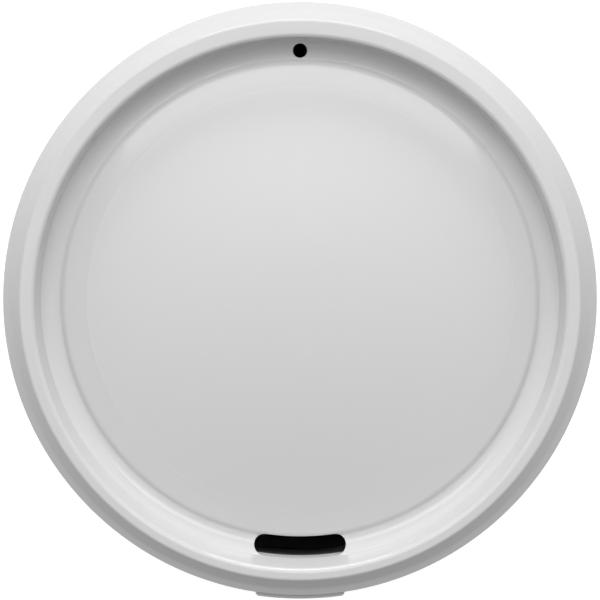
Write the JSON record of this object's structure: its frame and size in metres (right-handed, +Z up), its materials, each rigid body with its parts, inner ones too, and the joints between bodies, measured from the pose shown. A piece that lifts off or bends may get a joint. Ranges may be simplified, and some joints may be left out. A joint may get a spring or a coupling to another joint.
{
  "type": "travel tumbler",
  "caption": "Tapered double-wall travel tumbler with a glossy press-on sip lid, drinking slot, air vent and thumb tab.",
  "frame": {"origin": "centre of the base, on the table", "axes": "+Z up the cup's axis, -Y towards the drinker, where the sip slot and the thumb tab are"},
  "size_m": [0.0908, 0.0914, 0.154],
  "materials": {
    "lid_plastic": "gloss",
    "shell_plastic": "gloss",
    "liner_plastic": "satin",
    "seal_silicone": "matte"
  },
  "bodies": {
    "cup": {"outer_shell": "shell_plastic", "inner_liner": "liner_plastic", "base_plug": "shell_plastic"},
    "lid_unit": {"lid": "lid_plastic", "lid_seal": "seal_silicone"}
  },
  "joints": [
    {"name": "lid_lift", "type": "slide", "parent": "cup", "child": "lid_unit", "axis": [0, 0, 1], "range_m": [0, 0.04]}
  ]
}
